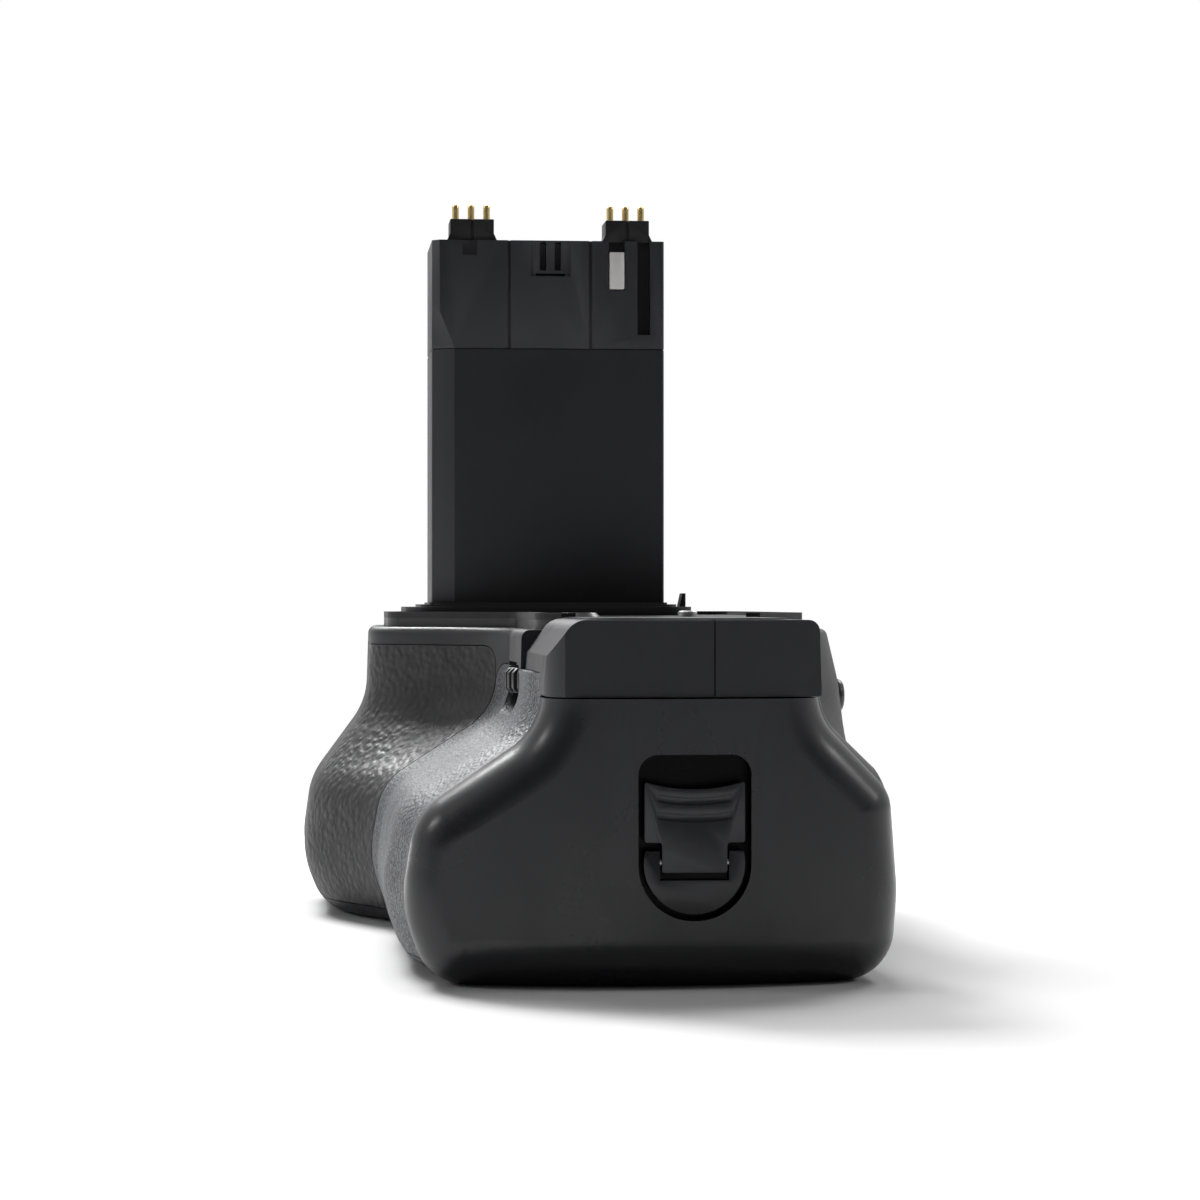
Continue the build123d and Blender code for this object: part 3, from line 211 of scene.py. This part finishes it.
def floor_material():
    """Pale, and fading to the backdrop's white round the object, for the camera alone."""
    material = bpy.data.materials.new("floor")
    material.use_nodes = True
    g = Graph(material.node_tree)
    shader = g.tree.nodes["Principled BSDF"]
    shader.inputs["Base Color"].default_value = (*FLOOR_COLOR, 1)
    shader.inputs["Roughness"].default_value = FLOOR_ROUGHNESS
    shader.inputs["Specular IOR Level"].default_value = 0.0
    flat = g.node("ShaderNodeVectorMath", operation="MULTIPLY")
    flat.inputs[1].default_value = (1, 1, 0)
    g.link(g.node("ShaderNodeTexCoord").outputs["Object"], flat.inputs[0])
    reach = g.node("ShaderNodeVectorMath", operation="LENGTH")
    g.link(flat.outputs[0], reach.inputs[0])
    fade = g.remap(reach.outputs["Value"], FLOOR_NEAR, FLOOR_FAR, 0.0, 1.0, smooth=True)
    seen = g.math("MULTIPLY", fade, g.node("ShaderNodeLightPath").outputs["Is Camera Ray"])
    blend = g.node("ShaderNodeMixShader")
    g.link(seen, blend.inputs[0])
    g.link(shader.outputs[0], blend.inputs[1])
    g.link(g.node("ShaderNodeEmission").outputs[0], blend.inputs[2])
    g.link(blend.outputs[0], g.tree.nodes["Material Output"].inputs["Surface"])
    return material


def add_floor():
    """Pale floor that keeps the object's shadow."""
    mesh = bpy.data.meshes.new("floor")
    half, low = FLOOR_HALF, cad_box[0][2]
    corners = [(-half, -half, low), (half, -half, low), (half, half, low), (-half, half, low)]
    mesh.from_pydata(corners, [], [(0, 1, 2, 3)])
    floor = add_object("floor", mesh)
    mesh.materials.append(floor_material())


class Surface(Graph):
    """A material whose helpers let each finish below read as a short recipe."""

    def __init__(self, name, color, roughness, specular=PLASTIC_SPECULAR, metallic=0.0):
        self.material = bpy.data.materials.new(name)
        self.material.use_nodes = True
        super().__init__(self.material.node_tree)
        self.shader = self.tree.nodes["Principled BSDF"]
        self.shader.inputs["Base Color"].default_value = (*color, 1)
        self.shader.inputs["Roughness"].default_value = roughness
        self.shader.inputs["Specular IOR Level"].default_value = specular
        self.shader.inputs["Metallic"].default_value = metallic
        self.place = self.node("ShaderNodeTexCoord").outputs["Object"]
        self.normal = None

    def noise(self, size, detail=2.0, roughness=0.5, stretch=(1, 1, 1)):
        """Noise whose lumps are about size across, drawn out by stretch."""
        mapping = self.node("ShaderNodeMapping")
        mapping.inputs["Scale"].default_value = [1 / (size * s) for s in stretch]
        self.link(self.place, mapping.inputs["Vector"])
        noise = self.node("ShaderNodeTexNoise")
        noise.inputs["Scale"].default_value = 1.0
        noise.inputs["Detail"].default_value = detail
        noise.inputs["Roughness"].default_value = roughness
        self.link(mapping.outputs["Vector"], noise.inputs["Vector"])
        return noise.outputs["Fac"]

    def pebbles(self, size, wobble, low, high):
        """Rounded cells about size across, pushed out of line by wobble, 1 at their middles."""
        shift = self.node("ShaderNodeTexNoise")
        shift.inputs["Scale"].default_value = 0.7 / size
        self.link(self.place, shift.inputs["Vector"])
        centred = self.node("ShaderNodeVectorMath", operation="SUBTRACT")
        self.link(shift.outputs["Color"], centred.inputs[0])
        centred.inputs[1].default_value = (0.5, 0.5, 0.5)
        scaled = self.node("ShaderNodeVectorMath", operation="SCALE")
        scaled.inputs["Scale"].default_value = wobble * size
        self.link(centred.outputs[0], scaled.inputs[0])
        moved = self.node("ShaderNodeVectorMath", operation="ADD")
        self.link(self.place, moved.inputs[0])
        self.link(scaled.outputs[0], moved.inputs[1])
        cells = self.node("ShaderNodeTexVoronoi", feature="SMOOTH_F1")
        cells.inputs["Scale"].default_value = 1 / size
        self.link(moved.outputs[0], cells.inputs["Vector"])
        return self.remap(cells.outputs["Distance"], low, high, 1.0, 0.0)

    def bump(self, height, depth):
        """Adds relief of about depth metres on top of what is there."""
        bump = self.node("ShaderNodeBump")
        bump.inputs["Strength"].default_value = 1.0
        bump.inputs["Distance"].default_value = depth
        self.link(height, bump.inputs["Height"])
        if self.normal:
            self.link(self.normal, bump.inputs["Normal"])
        self.normal = bump.outputs["Normal"]
        self.link(self.normal, self.shader.inputs["Normal"])

    def vary_roughness(self, value, low, high):
        self.link(self.remap(value, *NOISE_SPREAD, low, high), self.shader.inputs["Roughness"])

    def tint(self, value, color, low, high):
        """Turns the colour towards another where value rises from low to high."""
        mix = self.node("ShaderNodeMix", data_type="RGBA")
        current = self.shader.inputs["Base Color"]
        if current.is_linked:
            self.link(current.links[0].from_socket, mix.inputs[6])
        else:
            mix.inputs[6].default_value = tuple(current.default_value)
        mix.inputs[7].default_value = (*color, 1)
        self.link(self.remap(value, low, high, 0.0, 1.0), mix.inputs[0])
        self.link(mix.outputs[2], current)

    def wear(self, color):
        """Lightens outer edges where hands rub."""
        worn = self.node("ShaderNodeNewGeometry").outputs["Pointiness"]
        self.tint(worn, color, *WORN_POINTINESS)


def lighter(color, factor):
    return tuple(min(c * factor, 1.0) for c in color)


def recess_shade(s):
    """Painted shade: darkens the door's colour and lowers its sheen inside the latch's recess."""
    axes = s.node("ShaderNodeSeparateXYZ")
    s.link(s.place, axes.inputs[0])
    deep = s.node("ShaderNodeMath", operation="LESS_THAN")
    s.link(axes.outputs["X"], deep.inputs[0])
    deep.inputs[1].default_value = RECESS_RIM_X
    inside = deep.outputs[0]
    for axis, (middle, half) in (("Y", RECESS_Y), ("Z", RECESS_Z)):
        near = s.node("ShaderNodeMath", operation="COMPARE")
        s.link(axes.outputs[axis], near.inputs[0])
        near.inputs[1].default_value = middle
        near.inputs[2].default_value = half
        inside = s.math("MULTIPLY", inside, near.outputs[0])
    s.tint(inside, SHADE_COLOR, 0.0, 1.0)
    specular = s.remap(inside, 0.0, 1.0, PLASTIC_SPECULAR, SHADE_SPECULAR)
    s.link(specular, s.shader.inputs["Specular IOR Level"])


def moulded(name, color, roughness, grain=0.25 * MM, depth=0.010 * MM,
            specular=PLASTIC_SPECULAR, wear=1.6, shade=None):
    """Moulded plastic: a fine spark-eroded grain, uneven sheen, faint dust and rubbed edges."""
    s = Surface(name, color, roughness, specular)
    s.bump(s.noise(grain, detail=3.0, roughness=0.6), depth)
    s.bump(s.noise(9 * MM), 0.02 * MM)
    s.vary_roughness(s.noise(12 * MM, detail=4.0), roughness - 0.05, roughness + 0.06)
    s.tint(s.noise(0.5 * MM, detail=5.0, roughness=0.7), lighter(color, 1.35), 0.62, 0.80)
    s.wear(lighter(color, wear))
    # shade, when given, paints shade into the colour
    if shade:
        shade(s)
    return s.material


def door_plastic(name, shade=None):
    """Smoother plastic of the battery door."""
    return moulded(name, (0.0092, 0.0096, 0.0124), 0.30, 0.20 * MM, 0.006 * MM, shade=shade)


def fine_rubber(name, color):
    """Grip rubber with a fine pebble grain, speckled light and dark."""
    s = Surface(name, color, 0.5)
    s.bump(s.pebbles(0.55 * MM, 0.8, 0.05, 0.62), 0.12 * MM)
    s.vary_roughness(s.noise(7 * MM, detail=4.0), 0.46, 0.62)
    s.tint(s.noise(0.30 * MM, roughness=0.6), lighter(color, 4.2), 0.47, 0.60)
    s.tint(s.noise(0.42 * MM, roughness=0.6), lighter(color, 0.25), 0.52, 0.62)
    s.wear(lighter(color, 2.0))
    return s.material


def coarse_rubber(name, color):
    """Hand-grip rubber moulded with a coarse leather grain."""
    s = Surface(name, color, 0.52, 0.45)
    grain = s.pebbles(1.15 * MM, 0.6, 0.10, 0.70)
    s.bump(grain, 0.16 * MM)
    s.bump(s.noise(0.45 * MM), 0.03 * MM)
    s.vary_roughness(s.noise(9 * MM, detail=3.0), 0.46, 0.62)
    s.tint(grain, lighter(color, 1.3), 0.4, 1.0)
    s.tint(s.noise(1.1 * MM, detail=4.0, roughness=0.6), lighter(color, 1.5), 0.54, 0.78)
    return s.material


def metal(name, color, roughness):
    """Turned metal with fine tool marks along Z and a few smudges."""
    s = Surface(name, color, roughness, metallic=1.0)
    s.bump(s.noise(0.08 * MM, roughness=0.6, stretch=(1, 1, 0.02)), 0.004 * MM)
    s.vary_roughness(s.noise(3 * MM, detail=3.0), roughness - 0.05, roughness + 0.1)
    s.tint(s.noise(2 * MM, detail=4.0, roughness=0.6), lighter(color, 0.8), 0.5, 0.8)
    return s.material


FINISHES = {
    "casing": moulded("casing", (0.0100, 0.0103, 0.0132), 0.46, specular=0.4),
    "door_plastic": door_plastic("door_plastic"),
    # The door's finish, with shade painted into its latch recess
    "door_painted_recess_shade": door_plastic("door_painted_recess_shade", shade=recess_shade),
    "lever_plastic": moulded("lever_plastic", (0.0175, 0.0180, 0.0215), 0.38, 0.20 * MM, 0.006 * MM),
    "fine_rubber": fine_rubber("fine_rubber", (0.042, 0.043, 0.050)),
    "coarse_rubber": coarse_rubber("coarse_rubber", (0.011, 0.011, 0.013)),
    "panel_plastic": moulded("panel_plastic", (0.012, 0.012, 0.014), 0.5),
    "plate_metal": moulded("plate_metal", (0.012, 0.012, 0.014), 0.42),
    "gasket_rubber": moulded("gasket_rubber", (0.010, 0.010, 0.0115), 0.7),
    "tower_plastic": moulded("tower_plastic", (0.0205, 0.0210, 0.0250), 0.48),
    "contact_plastic": moulded("contact_plastic", (0.011, 0.011, 0.0125), 0.46),
    "gold": metal("gold", (0.86, 0.66, 0.30), 0.28),
    "steel": metal("steel", (0.60, 0.60, 0.61), 0.3),
    "black_steel": moulded("black_steel", (0.012, 0.012, 0.013), 0.35),
    "brass_bush": metal("brass_bush", (0.62, 0.50, 0.26), 0.35),
    "wheel_rubber": moulded("wheel_rubber", (0.024, 0.024, 0.025), 0.42, wear=2.6),
    "white_plastic": moulded("white_plastic", (0.80, 0.77, 0.75), 0.4, wear=1.0),
    "pad_rubber": moulded("pad_rubber", (0.012, 0.012, 0.014), 0.65),
    "inner_plastic": moulded("inner_plastic", (0.012, 0.012, 0.014), 0.5),
    "board": moulded("board", (0.016, 0.066, 0.036), 0.4),
    "chip": moulded("chip", (0.010, 0.010, 0.012), 0.4),
    "control_plastic": moulded("control_plastic", (0.011, 0.011, 0.013), 0.32),
    "dial_rubber": moulded("dial_rubber", (0.013, 0.013, 0.015), 0.5),
    # Near-black finish that paints shadow, on the parting seam and the latch plate
    "shadow_plastic": moulded("shadow_plastic", SHADE_COLOR, 0.6, specular=0.12, wear=1.0),
}

# Nodes whose finish differs from their slot's: blackened, with painted shade (the door in its latch
# recess, the latch plate in near-black), or lighter than the door
FINISH_OF = {
    "attachment_screw": "black_steel",
    "battery_door": "door_painted_recess_shade",
    "latch_lever": "lever_plastic",
    "latch_plate": "shadow_plastic",
}

# Nodes that get rounded edges: name, body, width of the rounding and slot
SOFTENED = [
    ("tower_column", "grip", 0.30 * MM, "tower_plastic"),
    ("tower_head", "grip", 0.16 * MM, "tower_plastic"),
    ("front_contact_block", "grip", 0.14 * MM, "contact_plastic"),
    ("rear_contact_block", "grip", 0.14 * MM, "contact_plastic"),
    ("sensing_tab", "grip", 0.15 * MM, "white_plastic"),
    ("latch_lever", "lever", 0.18 * MM, "door_plastic"),
    ("latch_knob", "magazine", 0.16 * MM, "door_plastic"),
    ("tower_collar", "grip", 0.16 * MM, "tower_plastic"),
    ("attachment_wheel", "attachment", 0.10 * MM, "wheel_rubber"),
]


def dress_nodes():
    """Gives every CAD node the finish of its slot, or its own."""
    slots = {part["node"]: part["material_slot"] for part in frame["record"]["subparts"]}
    for name, node in nodes.items():
        node.data.materials.clear()
        node.data.materials.append(FINISHES[FINISH_OF.get(name, slots[name])])


def link_piece(name, mesh, body, finish):
    """Puts a piece of the scene's own in place on its body and finish."""
    piece = add_object(name, mesh)
    mesh.materials.clear()
    mesh.materials.append(FINISHES[finish])
    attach(piece, body)
    return piece


def soften(node_name, body, width, slot):
    """Stands for a CAD node with a copy whose edges are rounded and whose flat faces stay flat."""
    mesh = nodes[node_name].data.copy()
    form = bmesh.new()
    form.from_mesh(mesh)
    bmesh.ops.remove_doubles(form, verts=form.verts, dist=WELD)
    bmesh.ops.dissolve_limit(form, angle_limit=FLAT_ANGLE, verts=form.verts, edges=form.edges)
    creases = [e for e in form.edges if len(e.link_faces) == 2 and e.calc_face_angle() > CREASE_ANGLE]
    bmesh.ops.bevel(form, geom=creases, offset=width, offset_type="OFFSET", segments=ROUND_STEPS,
                    profile=0.5, affect="EDGES", clamp_overlap=True)
    bmesh.ops.recalc_face_normals(form, faces=form.faces)
    for face in form.faces:
        face.smooth = True
    form.to_mesh(mesh)
    form.free()
    mesh.set_sharp_from_angle(angle=SHARP_ANGLE)
    piece = link_piece("soft_" + node_name, mesh, body, FINISH_OF.get(node_name, slot))
    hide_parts(node_name)


def surface_path(node_name, starts, way):
    """Points where rays from starts meet a CAD node, with the surface normal at each."""
    found = []
    for start in starts:
        hit, place, normal, _ = nodes[node_name].ray_cast(Vector(start), Vector(way))
        if hit:
            found.append((Vector(place), Vector(normal)))
    return found


def seam_mesh(points):
    """Thin strip along points, narrower above, standing a little over and under the surface."""
    form = bmesh.new()
    rows = []
    side = Vector((0, 1, 0)) * SEAM_WIDTH / 2
    for place, normal in points:
        low = place - normal * SEAM_LIFT
        high = place + normal * SEAM_LIFT
        section = (low - side, high - side * SEAM_TOP_SHARE, high + side * SEAM_TOP_SHARE, low + side)
        rows.append([form.verts.new(corner) for corner in section])
    for before, after in zip(rows, rows[1:]):
        for i in range(4):
            j = (i + 1) % 4
            form.faces.new((before[i], before[j], after[j], after[i]))
    form.faces.new(rows[0])
    form.faces.new(list(reversed(rows[-1])))
    bmesh.ops.recalc_face_normals(form, faces=form.faces)
    mesh = bpy.data.meshes.new("seam")
    form.to_mesh(mesh)
    form.free()
    return mesh


def parting_seam():
    """Near-black strips that paint the fine shadow line where the two shells of the housing meet over
    the door and along the top.
    """
    y = SEAM_Y - SEAM_INSET
    near = [(RAY_START_X, y, z * MM) for z in SEAM_NEAR_HEIGHTS]
    top = [(x * MM, y, RAY_START_Z) for x in SEAM_TOP_PLACES]
    for name, starts, way in (
        ("parting_seam_near", near, (-1, 0, 0)),
        ("parting_seam_top", top, (0, 0, -1)),
    ):
        points = surface_path("front_housing", starts, way)
        link_piece(name, seam_mesh(points), "grip", "shadow_plastic")


add_camera()
add_world()
add_floor()
for lamp in LAMPS:
    add_lamp(*lamp)
dress_nodes()
for softened in SOFTENED:
    soften(*softened)
parting_seam()

bpy.context.scene.view_settings.view_transform = "Standard"
